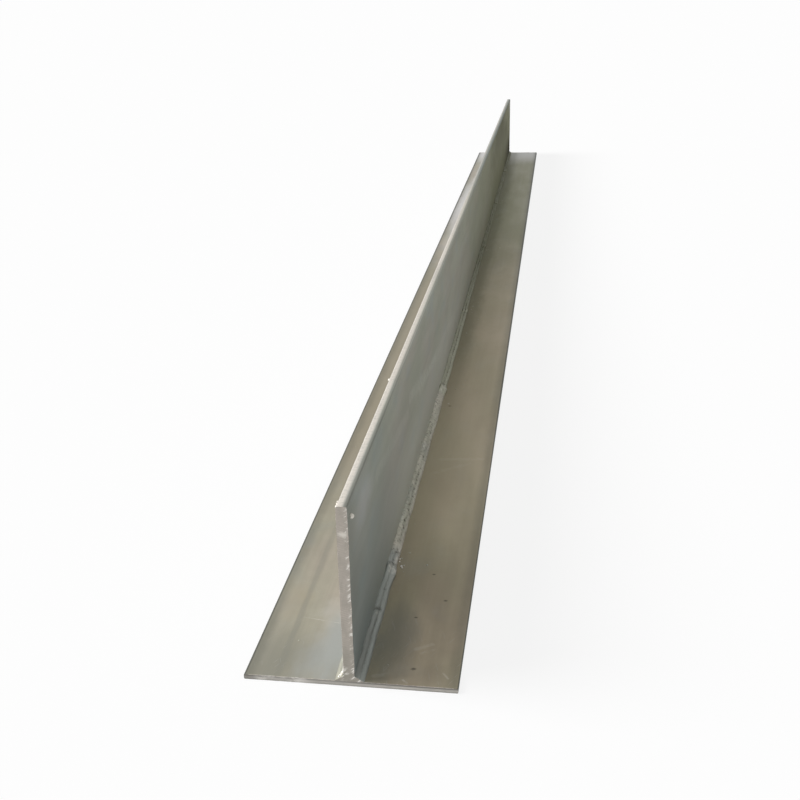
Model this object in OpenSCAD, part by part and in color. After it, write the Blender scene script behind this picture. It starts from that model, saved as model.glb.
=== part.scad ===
// Welded steel T-bar: a wide thin flange plate with a thicker web plate standing on its
// centre line, joined along each side by a fillet weld of two beads laid one above the other.
// Millimetres. The bar lies along Y with its flange down, and the origin is at the middle
// of its underside.

/* [Bar] */
// Length of the bar
bar_length = 3000; // [600:50:6000]

/* [Flange plate] */
// Width of the flange
flange_width = 200; // [100:5:300]
// Thickness of the flange
flange_thickness = 5; // [4:0.5:16]
// Radius of the flange's rolled edges
flange_edge_radius = 1; // [0.2:0.1:1.8]

/* [Web plate] */
// Height of the web above the flange
web_height = 180; // [60:5:300]
// Thickness of the web
web_thickness = 10; // [6:0.5:25]
// Radius of the web's top edges
web_edge_radius = 1.8; // [0.2:0.1:2.5]

/* [Welds] */
// Leg of each weld up the web
weld_leg_web = 8; // [5:0.5:14]
// Leg of each weld along the flange
weld_leg_flange = 9; // [5:0.5:14]
// How far a bead's crown stands out of the straight line between the weld's toes
bead_crown = 1.2; // [0.4:0.1:1.6]
// How far a restarted bead swells out of the crown that it overlaps
restart_swell = 0.9; // [0.3:0.1:2]
// Length of the swelling at a restart
restart_length = 12; // [6:1:30]
// How many ripples stand on each other at a restart
restart_ripples = 3; // [1:1:4]
// How far the weld dies away at the ends of the bar
crater_depth = 3.2; // [0:0.1:3.5]
// Length over which the weld dies away
crater_length = 18; // [8:1:40]

/* [Hidden] */
$fn = 64;

// Places, from the near end, where the welder stopped and started again
right_restarts = [220, 735, 1135, 1640, 2130, 2615];
left_restarts = [330, 810, 1290, 1745, 2240, 2690];

// The weld's section: across is measured from the web's face and up from the flange's top
web_toe = [0, weld_leg_web];
flange_toe = [weld_leg_flange, 0];
weld_face = norm(flange_toe - web_toe);
face_angle = atan2(weld_leg_flange, weld_leg_web);
face_normal = [cos(face_angle), sin(face_angle)];
weld_throat = web_toe * face_normal;
weld_crown = weld_throat + bead_crown;
corner_size = weld_leg_web + weld_leg_flange;

// Each bead is an arc over half of the weld's face
bead_radius = (pow(weld_face / 4, 2) + pow(bead_crown, 2)) / (2 * bead_crown);
bead_centres = [
    for (share = [1 / 4, 3 / 4])
        web_toe + share * (flange_toe - web_toe) - (bead_radius - bead_crown) * face_normal
];

// Runs a section, drawn across and up, along the bar
module along_bar(length = bar_length) {
    rotate([90, 0, 0])
        linear_extrude(height = length, center = true)
            children();
}

// A rectangle on the centre line with its corners rounded
module rolled_section(width, height, radius) {
    square([width - 2 * radius, height], center = true);
    square([width, height - 2 * radius], center = true);
    for (x = [-1, 1], y = [-1, 1])
        translate([x * (width / 2 - radius), y * (height / 2 - radius)])
            circle(r = radius);
}

// The web's foot is square, where the welds have run into its corners
module web_section() {
    translate([-web_thickness / 2, 0])
        square([web_thickness, web_height - web_edge_radius]);
    translate([web_edge_radius - web_thickness / 2, 0])
        square([web_thickness - 2 * web_edge_radius, web_height]);
    for (side = [-1, 1])
        translate([side * (web_thickness / 2 - web_edge_radius), web_height - web_edge_radius])
            circle(r = web_edge_radius);
}

// Two beads over a triangular root, kept in the corner between the plates
module weld_section() {
    intersection() {
        square(corner_size);
        union() {
            polygon([[0, 0], web_toe, flange_toe]);
            for (centre = bead_centres)
                translate(centre)
                    circle(r = bead_radius);
        }
    }
}

// What the welder built up at a restart: ripples that stand on each other, each a short
// stretch of the weld's section grown about its root
module restart(place) {
    translate([0, place - bar_length / 2, 0])
        for (ripple = [1 : restart_ripples])
            along_bar(restart_length * (restart_ripples + 1 - ripple) / restart_ripples)
                scale(1 + restart_swell * ripple / restart_ripples / weld_throat)
                    weld_section();
}

// Everything under the sloping craters at the two ends of the bar
module crater_envelope() {
    worn = weld_crown - crater_depth;
    clear = weld_crown + 2 * restart_swell;
    half = bar_length / 2;
    rotate([0, -face_angle, 0])
        linear_extrude(height = 4 * corner_size, center = true)
            polygon([
                [-corner_size, -half],
                [worn, -half],
                [weld_crown, crater_length - half],
                [clear, 2 * crater_length - half],
                [clear, half - 2 * crater_length],
                [weld_crown, half - crater_length],
                [worn, half],
                [-corner_size, half]
            ]);
}

// One side's weld, with its root on the line where the web's face meets the flange
module weld(restarts) {
    translate([web_thickness / 2, 0, flange_thickness])
        intersection() {
            union() {
                along_bar()
                    weld_section();
                for (place = restarts)
                    restart(place);
            }
            crater_envelope();
        }
}

module flange_plate() {
    color([0.60, 0.58, 0.53])
        translate([0, 0, flange_thickness / 2])
            along_bar()
                rolled_section(flange_width, flange_thickness, flange_edge_radius);
}

module web_plate() {
    color([0.47, 0.49, 0.48])
        translate([0, 0, flange_thickness])
            along_bar()
                web_section();
}

module weld_bead_right() {
    color([0.55, 0.56, 0.54])
        weld(right_restarts);
}

module weld_bead_left() {
    color([0.55, 0.56, 0.54])
        mirror([1, 0, 0])
            weld(left_restarts);
}

flange_plate();
web_plate();
weld_bead_right();
weld_bead_left();
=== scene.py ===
"""Looks of a galvanised steel T-bar: two plates with sawn ends, the welds that join them, and a studio."""

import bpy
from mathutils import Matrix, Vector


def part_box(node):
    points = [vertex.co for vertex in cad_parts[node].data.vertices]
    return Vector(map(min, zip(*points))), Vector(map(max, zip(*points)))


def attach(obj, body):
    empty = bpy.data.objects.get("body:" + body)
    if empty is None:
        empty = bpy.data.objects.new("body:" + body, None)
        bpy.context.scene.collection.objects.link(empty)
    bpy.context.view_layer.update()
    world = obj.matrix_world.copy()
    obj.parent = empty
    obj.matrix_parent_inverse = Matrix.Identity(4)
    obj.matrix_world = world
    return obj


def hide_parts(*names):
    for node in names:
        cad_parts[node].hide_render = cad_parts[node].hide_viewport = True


bl_info = {
    "name": "Galvanised T-bar",
    "version": (1, 0, 0),
    "blender": (4, 5, 0),
    "location": "3D View > Sidebar > T-bar",
    "description": "Models the plates, welds, burrs and spatter of a welded steel T-bar, and its studio",
    "category": "Object",
}

import math

import bmesh
import bpy
import numpy as np
from bpy.props import FloatProperty, FloatVectorProperty, IntProperty, PointerProperty
from bpy.types import Operator, Panel, PropertyGroup
from mathutils import Matrix, Vector

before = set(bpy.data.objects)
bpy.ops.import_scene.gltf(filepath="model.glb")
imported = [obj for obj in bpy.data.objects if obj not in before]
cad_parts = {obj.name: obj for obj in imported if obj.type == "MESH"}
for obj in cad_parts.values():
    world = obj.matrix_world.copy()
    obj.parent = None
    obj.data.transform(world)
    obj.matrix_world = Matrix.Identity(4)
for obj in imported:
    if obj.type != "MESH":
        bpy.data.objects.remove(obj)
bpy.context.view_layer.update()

MM = 0.001
# Places closer than this are the same
SAME = 1e-6

# Places that everything else is measured from, in metres
FLANGE_LOW, FLANGE_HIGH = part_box("flange_plate")
WEB_LOW, WEB_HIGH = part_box("web_plate")
NEAR_END = FLANGE_LOW.y
FAR_END = FLANGE_HIGH.y
FLANGE_TOP = FLANGE_HIGH.z
WEB_FACE = WEB_HIGH.x
WEB_TOP = WEB_HIGH.z
BAR_LENGTH = FAR_END - NEAR_END

# Distances from the near end where each weld was stopped and started again
RIGHT_RESTARTS = (0.220, 0.735, 1.135, 1.640, 2.130, 2.615)
LEFT_RESTARTS = (0.330, 0.810, 1.290, 1.745, 2.240, 2.690)
# How far before its place each of the first restarts swells, in lengths of a restart
FIRST_LEADS = (2.3, 0.7)
# Places and sizes of the nicks
RIGHT_NICKS = ((0.115, 1.5), (0.152, 0.9))
LEFT_NICKS = ((0.205, 1.0),)


def number(name, description, default, **kind):
    """A number of some kind."""
    return FloatProperty(name=name, description=description, default=default, **kind)


def length(name, description, millimetres):
    """A length that shows in the scene's own units."""
    return number(name, description, millimetres * MM, precision=5, unit="LENGTH")


def triple(name, description, default, **kind):
    """Three numbers that belong together."""
    return FloatVectorProperty(name=name, description=description, default=default, size=3, **kind)


def tone(name, description, *colour):
    """A colour, written in the linear values that a shader reads."""
    return triple(name, description, colour, min=0.0, max=1.0, subtype="COLOR")


class PlateSettings(PropertyGroup):
    """Sizes of the plates' edges, surfaces and sawn ends."""

    flange_edge_radius: length("Flange edge radius", "Radius of the flange's rolled edges", 1.0)
    web_edge_radius: length("Web edge radius", "Radius of the web's top edges", 1.8)
    wave_height: length("Wave height", "How far a plate's face strays from flat", 0.12)
    wave_length: length("Wave length", "Distance from one wave of a plate's face to the next", 310.0)
    saw_pitch: length("Saw mark pitch", "Distance between the marks of the saw", 2.4)
    saw_depth: length("Saw mark depth", "How deep the saw's marks are", 0.15)
    burr_height: length("Burr height", "How far the burr stands off a sawn edge", 0.55)


class WeldSettings(PropertyGroup):
    """Sizes of the two beads of a fillet weld."""

    leg_web: length("Leg on the web", "Height of the weld's toe on the web", 8.0)
    leg_flange: length("Leg on the flange", "Reach of the weld's toe on the flange", 9.0)
    bead_crown: length("Bead crown", "How far a bead bulges from the line between the toes", 1.2)
    ripple_pitch: length("Ripple pitch", "Distance between the ripples of a bead", 3.1)
    ripple_height: length("Ripple height", "Height of a ripple", 0.30)
    ripple_bow: length("Ripple bow", "How far a ripple's middle trails its ends", 2.2)
    toe_wander: length("Toe wander", "How far the toes stray along the bar", 0.55)
    restart_swell: length("Restart swell", "Height of the lump where a bead was restarted", 1.7)
    restart_length: length("Restart length", "Length of the lump where a bead was restarted", 13.0)
    crater_depth: length("Crater depth", "How far the weld dies away at the bar's ends", 3.2)
    crater_length: length("Crater length", "Length over which the weld dies away", 18.0)
    crumb_size: length("Crumb size", "Distance between the small lumps on a rough run", 2.3)
    crumb_height: length("Crumb height", "Height of the small lumps on a rough run", 0.34)
    pit_depth: length("Pit depth", "Depth of the pits between the two beads", 0.9)
    pit_spacing: length("Pit spacing", "Usual distance from one pit to the next", 11.0)
    spatter_count: IntProperty(
        name="Spatter count", description="Number of spatter beads beside each weld", default=110, min=0
    )


class FinishSettings(PropertyGroup):
    """Colours of the zinc, the welds and the marks on them, and of the painted shade, highlights and
    reflections.
    """

    flange_bright: tone("Flange, bright", "Clean zinc on the flange's left side", 0.43, 0.39, 0.32)
    flange_dull: tone("Flange, dull", "Weathered zinc on the flange's left side", 0.345, 0.32, 0.26)
    flange_damp: tone("Flange, damp", "Greenish zinc on the left near corner", 0.255, 0.25, 0.21)
    # Painted shade: darker copies of the flange's zinc for its right side, which the web shades
    shaded_bright_zinc: tone("Lee side, bright", "Clean zinc on the flange's right side", 0.375, 0.33, 0.243)
    shaded_dull_zinc: tone("Lee side, dull", "Weathered zinc on the flange's right side", 0.315, 0.28, 0.208)
    lee_pale: tone("Lee side, pale", "Paler zinc along the right side's middle", 0.47, 0.415, 0.30)
    lee_far: tone("Lee side, far", "Greener zinc on the right side's far half", 0.29, 0.295, 0.20)
    # Also painted shade beside the right weld's far half
    moss_and_shade: tone("Moss", "Olive film beside the weld's far half", 0.115, 0.12, 0.07)
    # Also a painted highlight on the left side's far half
    pale_zinc_and_highlight: tone("Pale zinc", "Clean cool zinc on the left side's far half", 0.72, 0.72, 0.73)
    # Painted shade along the flange's rolled edges
    rim_shade: tone("Flange rim", "Dirt on the flange's rolled edges", 0.085, 0.09, 0.075)
    web_bright: tone("Web, bright", "Clean zinc on the web", 0.50, 0.50, 0.44)
    web_dull: tone("Web, dull", "Weathered zinc on the web", 0.40, 0.405, 0.35)
    left_bright: tone("Left bright", "Bright zinc on the web's left face", 0.42, 0.42, 0.40)
    left_dull: tone("Left dull", "Dull zinc on the web's left face", 0.32, 0.325, 0.31)
    # Also painted light on the web's rounded top edge and painted highlights on the weld's restart lumps
    web_pale_and_highlight: tone("Web, pale", "Pale grey runs and smears on the web", 0.72, 0.735, 0.665)
    web_foot: tone("Web foot", "Blue-grey zinc at the web's near foot", 0.30, 0.35, 0.355)
    web_far: tone("Web, far", "Olive zinc on the web's far half", 0.31, 0.31, 0.205)
    # Painted shade at the web's near end and on its top edge
    web_shade: tone("Web, shaded", "Dull film at the web's near end and top edge", 0.22, 0.22, 0.195)
    weld_bright: tone("Weld, bright", "Zinc on the crowns of the beads", 0.555, 0.537, 0.466)
    weld_dull: tone("Weld, dull", "Zinc on the flanks of the beads", 0.395, 0.388, 0.328)
    # Also tints a painted reflection on the left flange
    weld_cool_and_reflection: tone("Weld, first run", "Blue-grey zinc on the first run of the weld", 0.292, 0.318, 0.304)
    weld_late: tone("Weld, later runs", "Greenish zinc on the runs after the second", 0.405, 0.418, 0.325)
    cut_bright: tone("Sawn end, bright", "Ridges that the saw left", 0.69, 0.63, 0.565)
    cut_dull: tone("Sawn end, dull", "Ground between the saw's marks", 0.39, 0.355, 0.31)
    # Also a painted reflection on the left flange by the web's foot
    cool_zinc_and_reflection: tone("Cool zinc", "Thin blue-grey film of zinc", 0.46, 0.465, 0.45)
    # Also painted highlights on the weld's crowns and restart lumps
    fresh_zinc_and_highlight: tone("Fresh zinc", "Thick clean zinc on crowns and runs", 0.74, 0.70, 0.63)
    # Painted highlight along the web's top edge
    top_edge_highlight: tone("Rubbed edge", "Bare zinc along the web's top edge", 0.82, 0.765, 0.69)
    splash_zinc: tone("Splashes", "Splashes and crusts of bare zinc", 0.87, 0.84, 0.79)
    # Also painted shade: beside the right weld, behind a weld restart and in the weld's hollows
    soot_and_shade: tone("Soot", "Soot and dirt in pits and along the weld", 0.07, 0.066, 0.052)
    rust: tone("Rust", "Thin rust where the zinc has failed", 0.13, 0.07, 0.045)


class StageSettings(PropertyGroup):
    """The camera, the lamps and the floor."""

    camera_offset: triple(
        "Camera offset",
        "Place of the camera from the foot of the near end",
        (0.1737, -0.7928, 0.6095),
        unit="LENGTH",
    )
    camera_turn: triple(
        "Camera turn",
        "Turn of the camera about X, Y and Z",
        (math.radians(67.973), math.radians(1.300), math.radians(8.115)),
        subtype="EULER",
        unit="ROTATION",
    )
    lens: number("Lens", "Focal length", 48.01, unit="CAMERA")
    key_way: triple(
        "Key lamp's way",
        "Way from the bar to the soft lamp on its left",
        (-0.79, -0.07, 0.61),
        subtype="DIRECTION",
    )
    key_strength: number("Key lamp", "Strength of the soft lamp on the left", 3.4)
    key_spread: number(
        "Key lamp's spread", "How wide the soft lamp looks from the bar", math.radians(27), subtype="ANGLE"
    )
    sky_level: number("Sky level", "Strength of the light from all round", 0.30)
    floor_colour: tone("Floor", "Colour of the floor", 0.92, 0.92, 0.92)


class TBarSettings(PropertyGroup):
    """All settings of the T-bar."""

    plates: PointerProperty(type=PlateSettings)
    welds: PointerProperty(type=WeldSettings)
    finish: PointerProperty(type=FinishSettings)
    stage: PointerProperty(type=StageSettings)


# Smooth curves

def wander(places, spacing, seed):
    """A smooth random curve from -1 to 1 along a line, with a new value at every spacing."""
    places = np.asarray(places, float) / spacing
    low = math.floor(places.min()) - 1
    values = np.random.default_rng(seed).uniform(-1, 1, math.ceil(places.max()) - low + 3)
    cell = np.floor(places).astype(int)
    share = places - cell
    ease = share * share * (3 - 2 * share)
    return values[cell - low] * (1 - ease) + values[cell - low + 1] * ease


def crumble(along, across, spacing, seed):
    """Smooth random bumps from -1 to 1 over a surface, about one to each spacing either way."""
    places = np.stack([along, across]) / spacing
    cell = np.floor(places).astype(int)
    share = places - cell
    ease = share * share * (3 - 2 * share)
    low = cell.min(axis=1, keepdims=True)
    row, column = cell - low
    values = np.random.default_rng(seed).uniform(-1, 1, (row.max() + 2, column.max() + 2))
    near = values[row, column] * (1 - ease[0]) + values[row + 1, column] * ease[0]
    far = values[row, column + 1] * (1 - ease[0]) + values[row + 1, column + 1] * ease[0]
    return near * (1 - ease[1]) + far * ease[1]


def bell(places):
    """A bump that is 1 at zero and dies away on both sides."""
    return np.exp(-places ** 2)


# Editing by hand

def start_piece(name):
    """Names the object that was just added and puts its place into its mesh."""
    piece = bpy.context.active_object
    piece.name = name
    piece.data.name = name
    bpy.ops.object.transform_apply(location=True, rotation=True, scale=True)
    return piece


def deselect_objects():
    """Leaves no object selected, so that an operator acts only on what is added next."""
    if bpy.context.mode != "OBJECT":
        bpy.ops.object.mode_set(mode="OBJECT")
    bpy.ops.object.select_all(action="DESELECT")


def add_grid(name, columns, rows, **turn):
    """A flat grid of one metre square."""
    deselect_objects()
    bpy.ops.mesh.primitive_grid_add(x_subdivisions=columns, y_subdivisions=rows, size=1.0, **turn)
    return start_piece(name)


def edit_all(piece):
    """Opens a piece for editing with all of it selected."""
    bpy.context.view_layer.objects.active = piece
    bpy.ops.object.mode_set(mode="EDIT")
    bpy.ops.mesh.select_all(action="SELECT")


def clean_mesh(piece):
    """Merges points that have come together, drops empty faces and turns the others outwards."""
    edit_all(piece)
    bpy.ops.mesh.remove_doubles(threshold=0.001 * MM)
    bpy.ops.mesh.dissolve_degenerate(threshold=0.001 * MM)
    bpy.ops.mesh.select_all(action="SELECT")
    bpy.ops.mesh.normals_make_consistent(inside=False)
    if bmesh.from_edit_mesh(piece.data).calc_volume(signed=True) < 0:
        bpy.ops.mesh.flip_normals()
    bpy.ops.object.mode_set(mode="OBJECT")


def join_pieces(pieces, name):
    """Joins several objects into one."""
    deselect_objects()
    for piece in pieces:
        piece.select_set(True)
    bpy.context.view_layer.objects.active = pieces[0]
    bpy.ops.object.join()
    return start_piece(name)


def mesh_points(piece):
    """The piece's vertices as rows of x, y and z."""
    points = np.empty(len(piece.data.vertices) * 3, np.float32)
    piece.data.vertices.foreach_get("co", points)
    return points.reshape(-1, 3).astype(float)


def move_points(piece, points):
    """Puts the piece's vertices at these places."""
    piece.data.vertices.foreach_set("co", points.astype(np.float32).ravel())
    piece.data.update()


def finish_piece(piece, angle=40.0):
    """Smooths all but sharp edges and ties the piece to the bar's one body."""
    deselect_objects()
    piece.select_set(True)
    bpy.context.view_layer.objects.active = piece
    bpy.ops.object.shade_smooth_by_angle(angle=math.radians(angle))
    piece.select_set(False)
    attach(piece, "root")
    return piece


def dress(piece, skin, ends=None):
    """Gives a piece its material, and its two end faces another."""
    piece.data.materials.clear()
    piece.data.materials.append(bpy.data.materials[skin])
    if ends is None:
        return
    piece.data.materials.append(bpy.data.materials[ends])
    for face in piece.data.polygons:
        outer = min(face.center.y - NEAR_END, FAR_END - face.center.y) < 0.5 * MM
        face.material_index = 1 if outer and abs(face.normal.y) > 0.6 else 0


# Plates

# Usual cells of a plate's section, across and up, and the number of lengths along the bar
FLANGE_CELLS = (2.5 * MM, 0.75 * MM)
WEB_CELLS = (1.3 * MM, 0.8 * MM)
FLANGE_STEPS = 60
WEB_STEPS = 40
# How far the saw's marks rise for each metre across
SAW_SLANT = 0.35


def plate_rows(low, high, cell, radius_low, radius_high):
    """Levels across a plate: even cells, with close levels round an edge's radius at either side."""
    arc = [1 - math.cos(math.radians(angle)) for angle in (0, 30, 60, 90)]
    start = [low + radius_low * share for share in arc] if radius_low else [low]
    stop = [high - radius_high * share for share in reversed(arc)] if radius_high else [high]
    count = max(1, round((stop[0] - start[-1]) / cell))
    middle = [start[-1] + (stop[0] - start[-1]) * step / count for step in range(1, count)]
    return start + middle + stop


def draw_plate(name, low, high, cells, steps, radius, rims):
    """A section drawn out along the bar, with round corners at its rims: the piece and its points."""
    across = plate_rows(low.x, high.x, cells[0], radius, radius)
    up = plate_rows(low.z, high.z, cells[1], radius if low.z in rims else 0, radius)
    piece = add_grid(name, len(across) - 1, len(up) - 1, rotation=(math.radians(90), 0, 0))
    points = mesh_points(piece)
    column = np.rint((points[:, 0] + 0.5) * (len(across) - 1)).astype(int)
    row = np.rint((points[:, 2] + 0.5) * (len(up) - 1)).astype(int)
    points[:, 0] = np.asarray(across)[column]
    points[:, 1] = NEAR_END
    points[:, 2] = np.asarray(up)[row]
    move_points(piece, points)
    edit_all(piece)
    for _ in range(steps):
        bpy.ops.mesh.extrude_region_move(TRANSFORM_OT_translate={"value": (0, BAR_LENGTH / steps, 0)})
    bpy.ops.object.mode_set(mode="OBJECT")
    points = mesh_points(piece)
    half = (high.x - low.x) / 2
    for rim in rims:
        depth = np.clip(radius - np.abs(points[:, 2] - rim), 0, radius)
        inset = radius - np.sqrt(np.maximum(radius * radius - depth * depth, 0))
        reach = np.clip((np.abs(points[:, 0]) - (half - radius)) / radius, 0, 1)
        points[:, 0] -= np.sign(points[:, 0]) * inset * reach
    return piece, points


def face_waves(points, axis, sizes, seed):
    """How a plate's face strays from flat, from -1 to 1, along the bar and across the plate."""
    along = wander(points[:, 1], sizes.wave_length, seed)
    slow = wander(points[:, 1] + 2.3 * points[:, axis], sizes.wave_length / 2.7, seed + 1)
    return 0.65 * along + 0.35 * slow


def saw_ends(points, across, up, sizes, seed):
    """Cuts the saw's slanting marks into both end faces, inwards."""
    for end, inward, offset in ((NEAR_END, 1, 0), (FAR_END, -1, 1)):
        face = np.abs(points[:, 1] - end) < SAME
        place = points[face, up] + SAW_SLANT * points[face, across]
        strength = 0.55 + 0.45 * wander(place, 0.006, seed + offset)
        mark = 0.5 + 0.5 * np.sin(2 * math.pi * place / sizes.saw_pitch)
        rough = 0.5 + 0.5 * wander(place + 0.7 * points[face, across], 0.0011, seed + offset + 2)
        points[face, 1] += inward * sizes.saw_depth * (0.6 * mark * strength + 0.4 * rough)


class TBAR_OT_flange(Operator):
    """Models the flange plate with its rolled edges, its slight unevenness and its sawn ends"""

    bl_idname = "tbar.flange"
    bl_label = "Flange plate"

    def execute(self, context):
        sizes = context.scene.tbar.plates
        rims = (FLANGE_LOW.z, FLANGE_HIGH.z)
        shape = (FLANGE_CELLS, FLANGE_STEPS, sizes.flange_edge_radius, rims)
        piece, points = draw_plate("flange", FLANGE_LOW, FLANGE_HIGH, *shape)
        top = points[:, 2] > FLANGE_TOP - SAME
        waves = face_waves(points[top], 0, sizes, seed=11)
        points[top, 2] -= sizes.wave_height * (0.5 + 0.5 * waves)
        saw_ends(points, 2, 0, sizes, seed=21)
        move_points(piece, points)
        clean_mesh(piece)
        dress(piece, "flange_skin", "sawn_skin")
        finish_piece(piece)
        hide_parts("flange_plate")
        return {"FINISHED"}


class TBAR_OT_web(Operator):
    """Models the web plate with its round top edges, its slight unevenness and its sawn ends"""

    bl_idname = "tbar.web"
    bl_label = "Web plate"

    def execute(self, context):
        sizes = context.scene.tbar.plates
        shape = (WEB_CELLS, WEB_STEPS, sizes.web_edge_radius, (WEB_HIGH.z,))
        piece, points = draw_plate("web", WEB_LOW, WEB_HIGH, *shape)
        side = np.abs(np.abs(points[:, 0]) - WEB_FACE) < SAME
        waves = face_waves(points[side], 2, sizes, seed=31)
        points[side, 0] += np.sign(points[side, 0]) * sizes.wave_height * waves
        saw_ends(points, 0, 2, sizes, seed=41)
        move_points(piece, points)
        clean_mesh(piece)
        dress(piece, "web_skin", "sawn_skin")
        finish_piece(piece)
        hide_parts("web_plate")
        return {"FINISHED"}


# Welds

WELD_ROW = 1.25 * MM
WELD_COLUMNS = 22
# How deep the weld's back lies in the plates
SUNK = 0.25 * MM


def bead_arc(share, chord, crown):
    """Height of a round bead over the share of its chord."""
    radius = (chord * chord / 4 + crown * crown) / (2 * crown)
    return np.sqrt(radius * radius - (chord * (share - 0.5)) ** 2) - (radius - crown)


def weld_surface(along, share, sizes, restarts, nicks, seed):
    """A weld's face by the way along it and the share from web to flange: across, up and relief, which the
    shader paints as highlights and shade.
    """
    first, second, third = restarts[:3]
    slimmer = np.interp(along, (third, third + 0.02), (1, 0.86))
    to_end = np.minimum(along, BAR_LENGTH - along)
    crater = np.clip(1 - to_end / sizes.crater_length, 0, 1) ** 1.5
    toe_web = slimmer * sizes.leg_web + sizes.toe_wander * wander(along, 0.021, seed)
    toe_web -= 0.8 * sizes.crater_depth * crater
    toe_flange = slimmer * sizes.leg_flange + sizes.toe_wander * wander(along, 0.026, seed + 1)
    for place, lead in zip(restarts, FIRST_LEADS):
        spread = bell((along - place) / sizes.restart_length + lead)
        toe_web += 1.5 * MM * spread
        toe_flange += 0.9 * MM * spread
    face = math.hypot(sizes.leg_web, sizes.leg_flange)
    normal = (sizes.leg_web / face, sizes.leg_flange / face)
    bead = np.where(share < 0.5, 0, 1)
    spot = 2 * share - bead
    to_toe = np.minimum(share, 1 - share)
    edge = np.clip(to_toe / 0.06, 0, 1)
    middle = (share - 0.5) * face

    # The groove is open near the first run's end and mostly filled after it
    later = np.clip((along - first) / 0.03, 0, 1)
    last_runs = np.interp(along, (second, second + 0.02), (0, 1))
    filled = 0.3 + later * (0.36 - 0.25 * last_runs + 0.25 * wander(along, 0.045, seed + 2))
    two_beads = bead_arc(spot, face / 2, sizes.bead_crown)
    one_bead = bead_arc(share, face, sizes.bead_crown * 1.15)
    height = two_beads * (1 - filled) + one_bead * filled
    groove = (1 - filled) * bell(middle / (0.8 * MM))
    toes = np.clip(1.3 - to_toe / 0.16, 0, 1) * np.where(share < 0.5, 1, 0.3)
    # The relief sinks in the groove and at the toes, where the shader paints shade
    toe_shade = np.interp(along, (first, second, second + 0.02), (0.25, 0.35, 0.4))
    groove_shade = np.interp(along, (0.10, 0.14, first - 0.02, first), (0.6, 0.3, 0.3, 0.65))
    relief = -(groove_shade + 0.35 * last_runs) * MM * groove - MM * toe_shade * toes

    # The first run is smooth, the second is crumbly, and the rest lie between
    changes = (first - 0.05, first - 0.02, second, second + 0.02)
    coarse = np.interp(along, changes, (0.25, 1, 1, 0.6))
    crumbs = edge * coarse * sizes.crumb_height * crumble(along, share * face, sizes.crumb_size, seed + 7)
    height += crumbs
    relief += 2.1 * crumbs

    # Ripples trail in the middle of each bead
    lag = sizes.ripple_bow * (1 - (2 * spot - 1) ** 2)
    shifted = along + lag + 1.3 * MM * wander(along + 0.3 * bead, 0.013, seed + 3)
    phase = np.mod(shifted / sizes.ripple_pitch + 0.37 * bead, 1.0)
    ripple = np.where(phase < 0.72, phase / 0.72, (1 - phase) / 0.28)
    ripples = edge * sizes.ripple_height * (ripple - 0.5) * (0.75 + 0.4 * wander(along, 0.03, seed + 4))
    height += ripples
    relief += 1.2 * ripples
    height += 0.25 * MM * edge * wander(along + 0.11 * bead, 0.017, seed + 5)

    # Lumps where the welder started again, with a hollow after the first ones and before the others
    for number, place in enumerate(restarts):
        if number < len(FIRST_LEADS):
            lead, reach, hollow_place, hollow_depth = FIRST_LEADS[number], 0.9, -1.3, 0.4
        else:
            lead, reach, hollow_place, hollow_depth = 1 - bead, 0.5, 1.5, 0.6
        from_place = along + 0.6 * lag - place + lead * sizes.restart_length
        from_lump = from_place / (sizes.restart_length * reach)
        hollow = bell((from_lump + hollow_place) / 0.6)
        step = edge * sizes.restart_swell * (bell(from_lump) - hollow_depth * hollow)
        height += step
        relief += 0.3 * step

    # Craters at the two ends of the bar
    height *= 1 - 0.9 * crater

    # Nicks across both beads, and pits along the groove between them
    for place, size in nicks:
        from_nick = (along - place - 0.9 * middle) / (2.6 * MM * size)
        beside = bell((middle + 1.2 * MM * size) / (2.7 * MM * size))
        cut = bell(from_nick) * beside
        height -= sizes.pit_depth * size * cut
        relief -= 0.55 * MM * size * cut
        rounded_end = size * bell(from_nick + 2.2) * beside
        height += 0.3 * MM * rounded_end
        relief += 0.25 * MM * rounded_end
    dice = np.random.default_rng(seed + 6)
    for _ in range(int(BAR_LENGTH / sizes.pit_spacing)):
        place = dice.uniform(0.01, BAR_LENGTH - 0.01)
        radius = dice.uniform(0.7, 1.3) * MM
        off = dice.uniform(-2.4, 2.4) * MM
        near = np.abs(along - place) < 8 * radius
        depth = sizes.pit_depth * dice.uniform(0.5, 1.0) * (1 if place > first else 0.3)
        pit = depth * bell((along[near] - place) / (2.2 * radius)) * bell((middle[near] - off) / radius)
        height[near] -= pit
        relief[near] -= 0.65 * pit

    across = toe_flange * share + normal[0] * height
    up = toe_web * (1 - share) + normal[1] * height
    across = np.where(share < SAME, -SUNK, np.maximum(across, -SUNK))
    up = np.where(share > 1 - SAME, -SUNK, np.maximum(up, -SUNK))
    return across, up, np.clip(relief / MM, -1, 1)


def lay_weld(name, side, restarts, nicks, sizes, seed):
    """One weld: a strip of mesh laid in the corner, shaped into beads and closed behind."""
    piece = add_grid(name, WELD_COLUMNS, round(BAR_LENGTH / WELD_ROW))
    points = mesh_points(piece)
    share = points[:, 0] + 0.5
    along = (points[:, 1] + 0.5) * BAR_LENGTH
    across, up, relief = weld_surface(along, share, sizes, restarts, nicks, seed)
    points[:, 0] = side * (WEB_FACE + across)
    points[:, 1] = NEAR_END + along
    points[:, 2] = FLANGE_TOP + up
    move_points(piece, points)
    shade = piece.data.attributes.new("relief", "FLOAT", "POINT")
    shade.data.foreach_set("value", relief.astype(np.float32))
    close_behind(piece, side)
    return piece


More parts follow.
